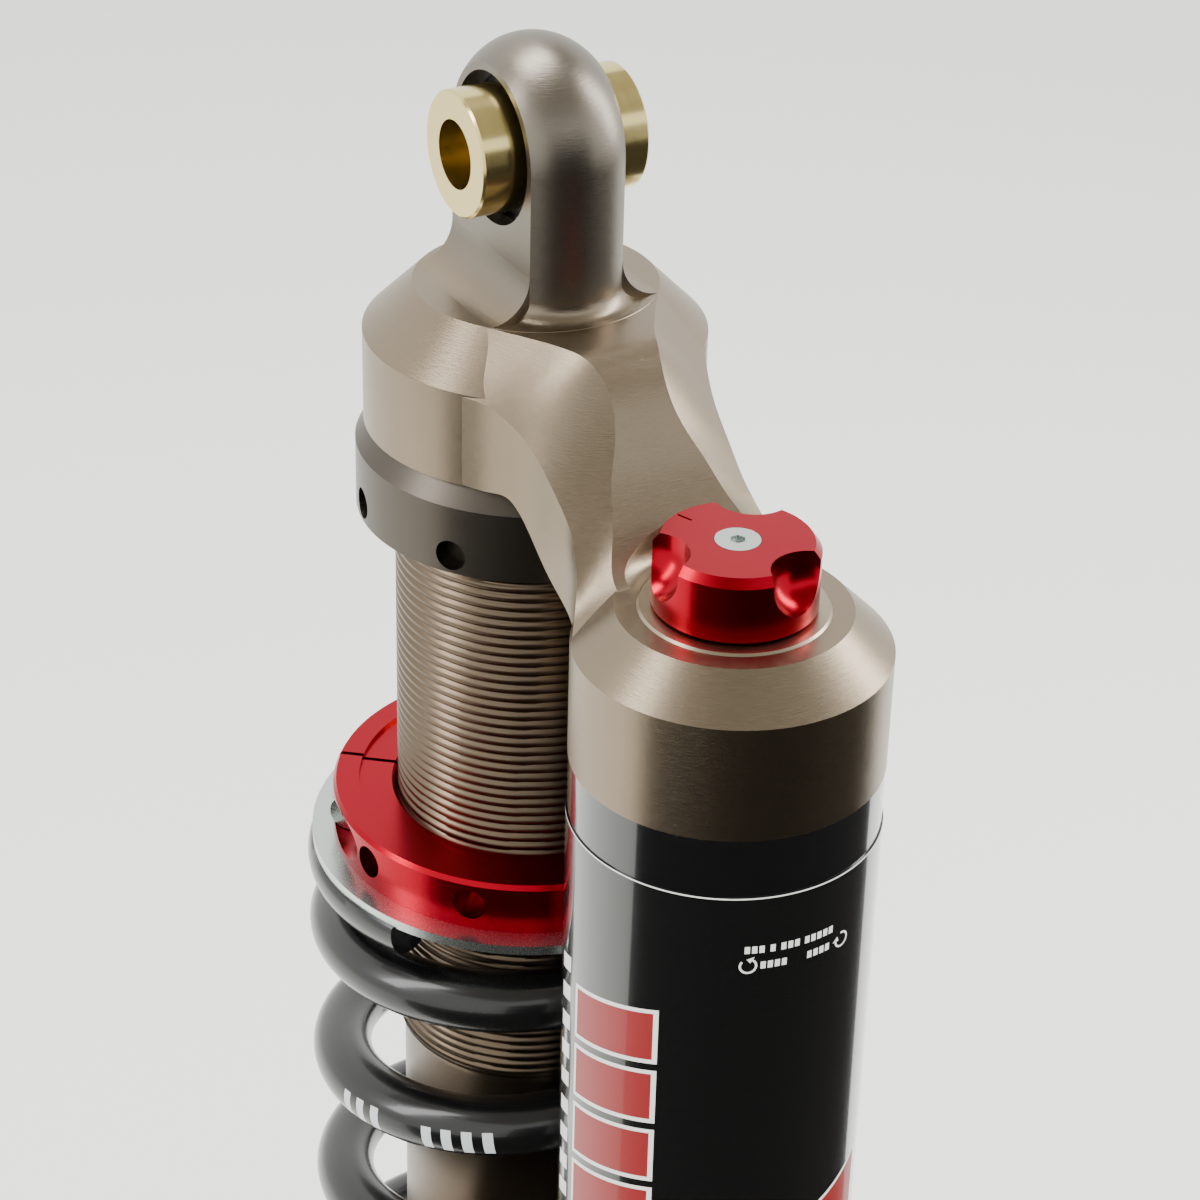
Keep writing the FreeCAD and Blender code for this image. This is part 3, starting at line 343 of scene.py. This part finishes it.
def spring_tree():
    """Coil spring: close-wound ground ends, wide turns between, going down clockwise."""
    tree, given, out = start_tree("coil_spring", [
        "Coil Radius", "Wire Radius", "Top", "Bottom", "Tip Drop", "Tip Angle", "Turns", "End Pitch",
        "First Turn", "Last Turn", "Count Along", "Count Round"])
    line = add(tree, "GeometryNodeCurvePrimitiveLine", {"End": (0.0, 0.0, 1.0)})
    cut = add(tree, "GeometryNodeResampleCurve", Curve=line.outputs[0], Count=given["Count Along"])
    along = add(tree, "GeometryNodeSplineParameter").outputs["Factor"]
    span = add(tree, "SUBTRACT", given["Last Turn"], given["First Turn"])
    turn = add(tree, "ADD", given["First Turn"], add(tree, "MULTIPLY", along, span))
    fall = add(tree, "SUBTRACT", add(tree, "SUBTRACT", given["Top"], given["Bottom"]),
                     add(tree, "MULTIPLY", given["Tip Drop"], 2.0))
    slack = add(tree, "SUBTRACT", fall, add(tree, "MULTIPLY", given["End Pitch"], given["Turns"]))
    gain = add(tree, "DIVIDE", slack, add(tree, "SUBTRACT", given["Turns"], 2.0))
    edge = add(tree, "MINIMUM", turn, add(tree, "SUBTRACT", given["Turns"], turn))
    ramp = add(tree, "MAXIMUM", 0.0, add(
        tree, "MINIMUM", 0.5, add(tree, "SUBTRACT", edge, 0.75)))
    opened = add(tree, "ADD", add(tree, "MULTIPLY", ramp, ramp), add(
        tree, "MAXIMUM", 0.0, add(tree, "SUBTRACT", edge, 1.25)))
    near = add(tree, "ADD", add(tree, "MULTIPLY", given["End Pitch"], edge),
                     add(tree, "MULTIPLY", gain, opened))
    below = add(tree, "GREATER_THAN", turn, add(tree, "MULTIPLY", given["Turns"], 0.5))
    far = add(tree, "SUBTRACT", fall, near)
    drop = add(tree, "ADD", add(tree, "MULTIPLY", below, far), add(
        tree, "MULTIPLY", add(tree, "SUBTRACT", 1.0, below), near))
    height = add(tree, "SUBTRACT", add(tree, "SUBTRACT", given["Top"], given["Tip Drop"]), drop)
    angle = add(tree, "SUBTRACT", given["Tip Angle"], add(tree, "MULTIPLY", turn, 2 * math.pi))
    centre = add(tree, "ShaderNodeCombineXYZ", Z=height,
                 X=add(tree, "MULTIPLY", given["Coil Radius"], add(tree, "COSINE", angle)),
                 Y=add(tree, "MULTIPLY", given["Coil Radius"], add(tree, "SINE", angle)))
    wound = add(tree, "GeometryNodeSetPosition", Geometry=cut.outputs[0], Position=centre.outputs[0])
    kept = add(tree, "GeometryNodeStoreNamedAttribute", {"data_type": "FLOAT", "domain": "POINT",
                                                         "Name": "wire_centre_height"},
               Geometry=wound.outputs[0], Value=height)
    section = add(tree, "GeometryNodeCurvePrimitiveCircle", Radius=given["Wire Radius"],
                  Resolution=given["Count Round"])
    wire = add(tree, "GeometryNodeCurveToMesh", {"Fill Caps": True}, Curve=kept.outputs[0],
               Profile_Curve=section.outputs[0])
    spot = add(tree, "ShaderNodeSeparateXYZ", Vector=add(tree, "GeometryNodeInputPosition").outputs[0])
    ground = add(tree, "MINIMUM", given["Top"], add(
        tree, "MAXIMUM", given["Bottom"], spot.outputs["Z"]))
    flat = add(tree, "ShaderNodeCombineXYZ", X=spot.outputs["X"], Y=spot.outputs["Y"], Z=ground)
    faced = add(tree, "GeometryNodeSetPosition", Geometry=wire.outputs[0], Position=flat.outputs[0])
    close_tree(tree, faced.outputs[0], given, out)
    return tree


def wrapped_print(name, shapes, radius, centre, material, body):
    """Flat printed shapes, as (arc length, height) outlines in metres, wrapped on a round sleeve."""
    bm = bmesh.new()
    for outline in shapes:
        bm.faces.new([bm.verts.new((x, 0.0, z)) for x, z in outline])
    bmesh.ops.triangulate(bm, faces=bm.faces[:])
    low = min(v.co.x for v in bm.verts)
    high = max(v.co.x for v in bm.verts)
    step = 0.0012
    for k in range(1, int((high - low) / step) + 1):
        bmesh.ops.bisect_plane(bm, geom=bm.verts[:] + bm.edges[:] + bm.faces[:],
                               plane_co=(low + k * step, 0, 0), plane_no=(1, 0, 0))
    for v in bm.verts:
        angle = v.co.x / radius
        v.co = Vector((centre.x + radius * math.cos(angle), centre.y + radius * math.sin(angle), v.co.z))
    bmesh.ops.recalc_face_normals(bm, faces=bm.faces[:])
    for face in bm.faces:
        middle = face.calc_center_median()
        if face.normal.dot(Vector((middle.x - centre.x, middle.y - centre.y, 0.0))) < 0:
            face.normal_flip()
        face.smooth = True
    mesh = bpy.data.meshes.new(name)
    bm.to_mesh(mesh)
    bm.free()
    mesh.materials.append(material)
    return finish_piece(name, mesh, body)


# ------------------------------------------------------------------ settings
class ShockColours(bpy.types.PropertyGroup):
    head: bpy.props.FloatVectorProperty(
        name="Head", description="Milled head and lower eye", subtype="COLOR",
        default=linear("#8b7d6b")[:3])
    lug: bpy.props.FloatVectorProperty(
        name="Upper lug", description="Lug of the head, a little duller", subtype="COLOR",
        default=linear("#7d766c")[:3])
    body: bpy.props.FloatVectorProperty(
        name="Threaded body", description="Hard-anodised body", subtype="COLOR",
        default=linear("#6a5c4d")[:3])
    red: bpy.props.FloatVectorProperty(
        name="Red parts", description="Nut, knob and rebound screw", subtype="COLOR",
        default=linear("#a30621")[:3])
    brass: bpy.props.FloatVectorProperty(
        name="Spacers", description="Turned spacers in both eyes", subtype="COLOR",
        default=linear("#e6d28f")[:3])
    spring: bpy.props.FloatVectorProperty(
        name="Spring", description="Powder coat of the spring", subtype="COLOR",
        default=linear("#0b0b0c")[:3])


class ShockSizes(bpy.types.PropertyGroup):
    thread_pitch: bpy.props.FloatProperty(
        name="Thread pitch", description="Rise of the body thread in one turn",
        default=2.0 * MM, min=1.0 * MM, max=4.0 * MM, unit="LENGTH")
    thread_depth: bpy.props.FloatProperty(
        name="Thread depth", description="Depth of the body thread",
        default=0.55 * MM, min=0.1 * MM, max=1.0 * MM, unit="LENGTH")
    wire_radius: bpy.props.FloatProperty(
        name="Wire radius", description="Radius of the spring wire",
        default=6.1 * MM, min=4.0 * MM, max=7.0 * MM, unit="LENGTH")
    spring_turns: bpy.props.FloatProperty(
        name="Spring turns", description="Turns of the spring from tip to tip",
        default=8.5, min=5.0, max=12.0)
    print_red: bpy.props.FloatVectorProperty(
        name="Print red", description="Red ink on the sleeve", subtype="COLOR",
        default=linear("#8e060d")[:3])
    print_white: bpy.props.FloatVectorProperty(
        name="Print white", description="White ink on the sleeve", subtype="COLOR",
        default=linear("#e8e8e4")[:3])


def opaque(colour):
    return tuple(colour) + (1.0,)


# ------------------------------------------------------------------ operators
class SHOCK_OT_stage(bpy.types.Operator):
    """Camera, pale floor and soft studio lights"""
    bl_idname = "shock.stage"
    bl_label = "Stage"

    def execute(self, context):
        scene = context.scene
        data = bpy.data.cameras.new("camera")
        data.sensor_width = 36.0
        data.lens = CAMERA_LENS
        data.clip_end = 20.0
        camera = bpy.data.objects.new("camera", data)
        azimuth, elevation, roll = (math.radians(a) for a in CAMERA_ANGLES)
        ahead = Vector((-math.sin(azimuth) * math.cos(elevation),
                        math.cos(azimuth) * math.cos(elevation), -math.sin(elevation)))
        side = Vector((math.cos(azimuth), math.sin(azimuth), 0.0))
        up = side.cross(ahead)
        right = side * math.cos(roll) + up * math.sin(roll)
        top = up * math.cos(roll) - side * math.sin(roll)
        camera.matrix_world = Matrix.LocRotScale(
            Vector(CAMERA_PLACE), Matrix((right, top, -ahead)).transposed(), None)
        scene.collection.objects.link(camera)
        scene.camera = camera

        floor_mesh = bpy.data.meshes.new("floor")
        level = CAD_BOX[0][2] - FLOOR_GAP
        corners = ((-1, -1), (1, -1), (1, 1), (-1, 1))
        floor_mesh.from_pydata([(x * FLOOR_HALF, y * FLOOR_HALF, level) for x, y in corners], [],
                               [(0, 1, 2, 3)])
        floor = bpy.data.objects.new("floor", floor_mesh)
        scene.collection.objects.link(floor)
        paper, _, shader = new_material("matt_paper_floor")
        shader.inputs["Base Color"].default_value = linear("#f6f6f1")
        shader.inputs["Roughness"].default_value = 0.9
        floor_mesh.materials.append(paper)

        world = bpy.data.worlds.new("studio")
        scene.world = world
        world.use_nodes = True
        sky = world.node_tree.nodes["Background"]
        sky.inputs["Color"].default_value = linear("#e4e5e2")
        sky.inputs["Strength"].default_value = SKY_STRENGTH

        for name, place, target, size, power in SOFTBOXES:
            self.softbox(name, place, target, size, power)
        black = matt_cloth("black_flag_cloth", "#1a1714")
        above = level + 0.001
        self.flag("floor_flag", black, [(-1.3, -2.6, above), (1.6, -2.6, above),
                                        (1.6, -0.02, above), (-1.3, -0.02, above)])
        self.flag("front_flag", black, [(-1.1, -1.3, level), (0.75, -1.3, level),
                                        (0.75, -1.3, 0.45), (-1.1, -1.3, 0.45)])
        self.flag("ceiling_flag", matt_cloth("grey_ceiling_cloth", "#8d8982"),
                  [(-1.5, -1.6, 1.3), (1.5, -1.6, 1.3), (1.5, 1.2, 1.3), (-1.5, 1.2, 1.3)])
        return {"FINISHED"}

    @staticmethod
    def flag(name, cloth, corners):
        """Dark card that only reflections see, so gloss black and polished walls stay deep."""
        mesh = bpy.data.meshes.new(name)
        mesh.from_pydata(corners, [], [(0, 1, 2, 3)])
        mesh.materials.append(cloth)
        card = bpy.data.objects.new(name, mesh)
        bpy.context.scene.collection.objects.link(card)
        card.visible_camera = card.visible_diffuse = card.visible_shadow = False
        card.visible_transmission = False

    @staticmethod
    def softbox(name, where, target, size, power):
        data = bpy.data.lights.new(name, "AREA")
        data.shape = "RECTANGLE"
        data.size, data.size_y = size
        data.energy = power
        light = bpy.data.objects.new(name, data)
        light.location = where
        light.rotation_euler = (Vector(target) - Vector(where)).to_track_quat("-Z", "Y").to_euler()
        bpy.context.scene.collection.objects.link(light)


class SHOCK_OT_finishes(bpy.types.Operator):
    """Finishes of the solids that keep their shape"""
    bl_idname = "shock.finishes"
    bl_label = "Finishes"

    def execute(self, context):
        colours = context.scene.shock_colours
        head = machined_head(colours)
        dark = turned_metal("dark_anodised_aluminium", linear("#57514a"), 0.30, "Z", 0.2)
        turned = turned_metal("turned_grey_anodised_aluminium", linear("#a89a86"), 0.26, "Z", 0.25)
        steel = turned_metal("dark_bearing_steel", linear("#4a4a4b"), 0.28, "X", 0.1)
        brass = turned_metal("turned_pale_brass", opaque(colours.brass), 0.14, "X", 0.12)
        red = blasted_metal("red_anodised_aluminium", opaque(colours.red), 0.22, 0.12)
        zinc = blasted_metal("zinc_plated_steel", linear("#c9d0cd"), 0.24, 0.10)
        chrome = blasted_metal("hard_chrome", linear("#d9d9d8"), 0.06, 0.0)
        plain = turned_metal("plain_steel", linear("#9b9a98"), 0.30, "Z", 0.1)
        bright = turned_metal("machined_aluminium", linear("#c4c3c0"), 0.28, "Z", 0.15)
        black = coated("gloss_black_paint", linear("#08080a"), 0.18, 1.0, 0.02)
        film = coated("gloss_black_film", linear("#0a0a0b"), 0.22, 1.0, 0.04)
        rubber = soft_material("black_nitrile_rubber", linear("#161616"), 0.55)
        bump = soft_material("black_bump_foam", linear("#1c1c1c"), 0.75)
        guide = soft_material("filled_guide_plastic", linear("#55584a"), 0.45)
        plan = {
            head: ["head", "lower_eye", "spring_perch", "reservoir_end_cap"],
            dark: ["body_lock_ring", "body_end_cap"],
            turned: ["adjuster_body"],
            steel: ["upper_bearing_race", "upper_bearing_ball", "upper_bearing_clips",
                    "lower_bearing_race", "lower_bearing_ball", "lower_bearing_clips"],
            brass: ["upper_spacers", "lower_spacers"],
            red: ["preload_nut", "compression_knob", "rebound_adjuster"],
            zinc: ["spring_washer", "preload_clamp_screw", "knob_screw"],
            chrome: ["shaft"],
            plain: ["seal_head_clip", "perch_clip", "rebound_washer", "rebound_shims", "compression_shims",
                    "compression_washer", "piston_nut", "reservoir_clip", "gas_valve", "base_valve_shims",
                    "base_valve_nut", "compression_needle"],
            bright: ["seal_head", "damping_piston", "bump_washer", "rebound_rod", "floating_piston",
                     "base_valve"],
            black: ["reservoir_tube"],
            film: ["reservoir_label"],
            rubber: ["body_o_ring", "seal_head_o_ring", "shaft_seal", "shaft_wiper", "reservoir_o_ring",
                     "valve_cap"],
            bump: ["bump_stop", "topout_bumper"],
            guide: ["piston_band", "floating_piston_bands"],
        }
        for material, names in plan.items():
            for name in names:
                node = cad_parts[name]
                for slot in node.material_slots:
                    slot.material = material
                if not node.material_slots:
                    node.data.materials.append(material)
        return {"FINISHED"}


class SHOCK_OT_threaded_body(bpy.types.Operator):
    """Body tube with its real preload thread"""
    bl_idname = "shock.threaded_body"
    bl_label = "Threaded body"

    def execute(self, context):
        sizes = context.scene.shock_sizes
        material = turned_metal("hard_anodised_thread", opaque(context.scene.shock_colours.body),
                                0.26, "Z", 0.1)
        segments = 96
        outer, plain, bore = 26.5 * MM, 25.5 * MM, 23.0 * MM
        top = RING_LOW.z
        bottom = -194.0 * MM
        pitches = (top - bottom) / sizes.thread_pitch
        thread = from_nodes("thread", thread_tree(), {
            "Radius": outer, "Depth": sizes.thread_depth, "Pitch": sizes.thread_pitch, "Top": top,
            "Height": top - bottom, "Run Out": 2.5 * MM, "Count Round": segments + 1,
            "Count Down": int(pitches * 8) + 1}, material)
        shoulder = RING_HIGH.z
        rest = lathe_mesh("tube", [
            (outer, bottom), (plain, bottom - 2.0 * MM), (plain, BODY_LOW.z), (bore, BODY_LOW.z),
            (bore, BODY_HIGH.z), (plain, BODY_HIGH.z), (plain, shoulder), (outer, shoulder), (outer, top)],
            segments)
        bm = bmesh.new()
        bm.from_mesh(thread)
        bm.from_mesh(rest)
        bmesh.ops.remove_doubles(bm, verts=bm.verts[:], dist=0.02 * MM)
        bmesh.ops.recalc_face_normals(bm, faces=bm.faces[:])
        for face in bm.faces:
            face.smooth = True
            face.material_index = 0
        mesh = bpy.data.meshes.new("threaded_body")
        bm.to_mesh(mesh)
        bm.free()
        mesh.materials.append(material)
        finish_piece("threaded_body", mesh, "body", ["shock_body"], angle=60.0)
        return {"FINISHED"}


class SHOCK_OT_coil_spring(bpy.types.Operator):
    """Coil spring of round wire, built as an upper piece and a main piece"""
    bl_idname = "shock.coil_spring"
    bl_label = "Coil spring"

    def execute(self, context):
        sizes = context.scene.shock_sizes
        colour = opaque(context.scene.shock_colours.spring)
        material = coated("gloss_black_powder_coat", colour, 0.25, 0.3, 0.08)
        ink = printed_ink("grey_white_ink", linear("#c9ccd0"))
        tree = spring_tree()
        outer = 44.95 * MM
        split = 2.0                       # turn where the upper piece meets the main one
        per_turn = 128
        values = {"Coil Radius": outer - sizes.wire_radius, "Wire Radius": sizes.wire_radius,
                  "Top": SPRING_HIGH.z, "Bottom": SPRING_LOW.z, "Tip Drop": 2.0 * MM,
                  "Tip Angle": math.radians(206.0), "Turns": sizes.spring_turns, "End Pitch": 14.0 * MM,
                  "Count Round": 28}
        overlap = 1.0 / per_turn          # the two pieces share one short length of wire
        spans = (("spring_upper_turns", 0.0, split, "spring_seat", "body"),
                 ("spring_main_turns", split - overlap, sizes.spring_turns, "body", "shaft_side"))
        for name, first, last, upper, lower in spans:
            mesh = from_nodes(name, tree, values | {
                "First Turn": first, "Last Turn": last, "Count Along": int((last - first) * per_turn) + 1},
                material)
            heights = [0.0] * len(mesh.vertices)
            mesh.attributes["wire_centre_height"].data.foreach_get("value", heights)
            mesh.attributes.remove(mesh.attributes["wire_centre_height"])
            self.print_blocks(mesh, ink, outer - sizes.wire_radius, sizes.wire_radius)
            piece = finish_piece(name, mesh, None, angle=50.0)
            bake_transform(piece)
            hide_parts("spring")
        return {"FINISHED"}

    @staticmethod
    def print_blocks(mesh, ink, coil_radius, wire_radius):
        """Row of plain printed blocks on the outside of one turn, left as faces of the wire itself."""
        mesh.materials.append(ink)
        for face in mesh.polygons:
            middle = face.center
            around = math.degrees(math.atan2(middle.y, middle.x)) % 360.0
            outside = math.hypot(middle.x, middle.y) - coil_radius
            block = (around - PRINT_START) / PRINT_STEP
            on_face = outside > wire_radius * 0.90 and PRINT_LOW < middle.z < PRINT_HIGH
            if on_face and 0.0 < block < PRINT_BLOCKS and block % 1.0 < 0.5 and int(block) not in PRINT_GAPS:
                face.material_index = 1

    @staticmethod
    def open_part(heights, first):
        """Heights between which the wide turns lie, leaving out the close-wound ends."""
        if first == 0.0:
            return max(heights) - 16.0 * MM, min(heights)
        return max(heights), min(heights) + 16.0 * MM


class SHOCK_OT_sleeve_print(bpy.types.Operator):
    """Plain coloured stripes and turning marks printed on the reservoir sleeve"""
    bl_idname = "shock.sleeve_print"
    bl_label = "Sleeve print"

    def execute(self, context):
        sizes = context.scene.shock_sizes
        red = printed_ink("red_ink", opaque(sizes.print_red))
        white = printed_ink("white_ink", opaque(sizes.print_white))
        radius = (LABEL_HIGH.x - LABEL_LOW.x) / 2
        top = LABEL_HIGH.z

        def at(degrees):
            return math.radians(degrees) * radius

        whites = [[(0.0, top - 0.3 * MM), (2 * math.pi * radius, top - 0.3 * MM),
                   (2 * math.pi * radius, top), (0.0, top)]]
        reds = []
        low, high = at(176.0), at(218.0)
        for k in range(8):
            crown = top - (31.0 + 13.5 * k) * MM
            whites.append(self.slanted(low, high, crown, crown - 12.0 * MM, 5.0 * MM, 0.0))
            reds.append(self.slanted(low, high, crown, crown - 12.0 * MM, 5.0 * MM, 0.9 * MM))
        for k in range(16):
            crown = top - (29.0 + 6.6 * k) * MM
            whites.append(self.slanted(at(161.0), at(171.0), crown, crown - 3.4 * MM, 1.8 * MM, 0.0))
        whites.append(self.slanted(at(262.0), at(314.0), top - 78.0 * MM, top - 100.0 * MM, 9.0 * MM, 0.0))
        reds.append(self.slanted(at(262.0), at(314.0), top - 78.0 * MM, top - 100.0 * MM, 9.0 * MM, 0.9 * MM))
        upper, lower = top - 11.0 * MM, top - 14.4 * MM
        whites += self.dashes(at(247.5), upper, (1.3, 1.3, 1.3, 0.0, 1.3, 0.0, 1.3, 1.3, 1.3, 0.0, 1.3, 1.3,
                                                1.3, 1.3, 1.3))
        whites += self.turning_mark(at(249.0), lower, 1.0) + self.turning_mark(at(287.5), lower, -1.0)
        whites += self.dashes(at(253.5), lower, (1.3, 1.3, 1.3, 1.3))
        whites += self.dashes(at(271.5), lower, (1.3, 1.3, 1.3, 1.3))
        wrapped_print("sleeve_white_print", whites, radius + 0.02 * MM, RESERVOIR_AXIS, white, "body")
        wrapped_print("sleeve_red_print", reds, radius + 0.05 * MM, RESERVOIR_AXIS, red, "body")
        return {"FINISHED"}

    @staticmethod
    def slanted(left, right, top, bottom, rise, inset):
        """Leaning block, its right side higher by rise, drawn inside by inset."""
        slope = rise / (right - left)
        left, right = left + inset, right - inset
        return [(left, bottom + inset + slope * inset), (right, bottom + rise + inset - slope * inset),
                (right, top + rise - inset - slope * inset), (left, top - inset + slope * inset)]

    @staticmethod
    def dashes(x, z, widths):
        """Row of plain blocks 1.5 mm tall, as a stand-in for small print; a zero leaves a space."""
        shapes = []
        for width in widths:
            half = 0.75 * MM
            if width:
                shapes.append([(x, z - half), (x + width * MM * 0.72, z - half),
                               (x + width * MM * 0.72, z + half), (x, z + half)])
            x += (width or 0.7) * MM
        return shapes

    @staticmethod
    def turning_mark(x, z, way):
        """Open ring with an arrow head, turning one way or the other."""
        shapes = []
        inner, outer, steps = 1.25 * MM, 1.65 * MM, 14
        for k in range(steps):
            a, b = (math.radians(120.0 + way * (20.0 + 280.0 * (k + i) / steps)) for i in (0, 1))
            shapes.append([(x + r * math.cos(t), z + r * math.sin(t))
                           for r, t in ((inner, a), (outer, a), (outer, b), (inner, b))])
        end = math.radians(120.0 + way * 300.0)
        tip = end + way * 0.75
        shapes.append([(x + 0.7 * MM * math.cos(end), z + 0.7 * MM * math.sin(end)),
                       (x + 2.2 * MM * math.cos(end), z + 2.2 * MM * math.sin(end)),
                       (x + 1.45 * MM * math.cos(tip), z + 1.45 * MM * math.sin(tip))])
        return shapes


class SHOCK_PT_panel(bpy.types.Panel):
    """Sidebar panel that lists the shock's pieces and settings"""
    bl_idname = "SHOCK_PT_panel"
    bl_label = "Shock absorber"
    bl_space_type = "VIEW_3D"
    bl_region_type = "UI"
    bl_category = "Shock"

    def draw(self, context):
        for operator in OPERATORS:
            self.layout.operator(operator.bl_idname)
        for group in (context.scene.shock_sizes, context.scene.shock_colours):
            for key in group.__annotations__:
                self.layout.prop(group, key)


OPERATORS = (SHOCK_OT_stage, SHOCK_OT_finishes, SHOCK_OT_threaded_body, SHOCK_OT_coil_spring,
             SHOCK_OT_sleeve_print)
CLASSES = (ShockColours, ShockSizes) + OPERATORS + (SHOCK_PT_panel,)


def register():
    for item in CLASSES:
        bpy.utils.register_class(item)
    bpy.types.Scene.shock_colours = bpy.props.PointerProperty(type=ShockColours)
    bpy.types.Scene.shock_sizes = bpy.props.PointerProperty(type=ShockSizes)


def unregister():
    del bpy.types.Scene.shock_sizes
    del bpy.types.Scene.shock_colours
    for item in reversed(CLASSES):
        bpy.utils.unregister_class(item)


def main():
    register()
    bpy.ops.shock.stage()
    bpy.ops.shock.finishes()
    bpy.ops.shock.threaded_body()
    bpy.ops.shock.coil_spring()
    bpy.ops.shock.sleeve_print()


if __name__ == "__main__":
    main()
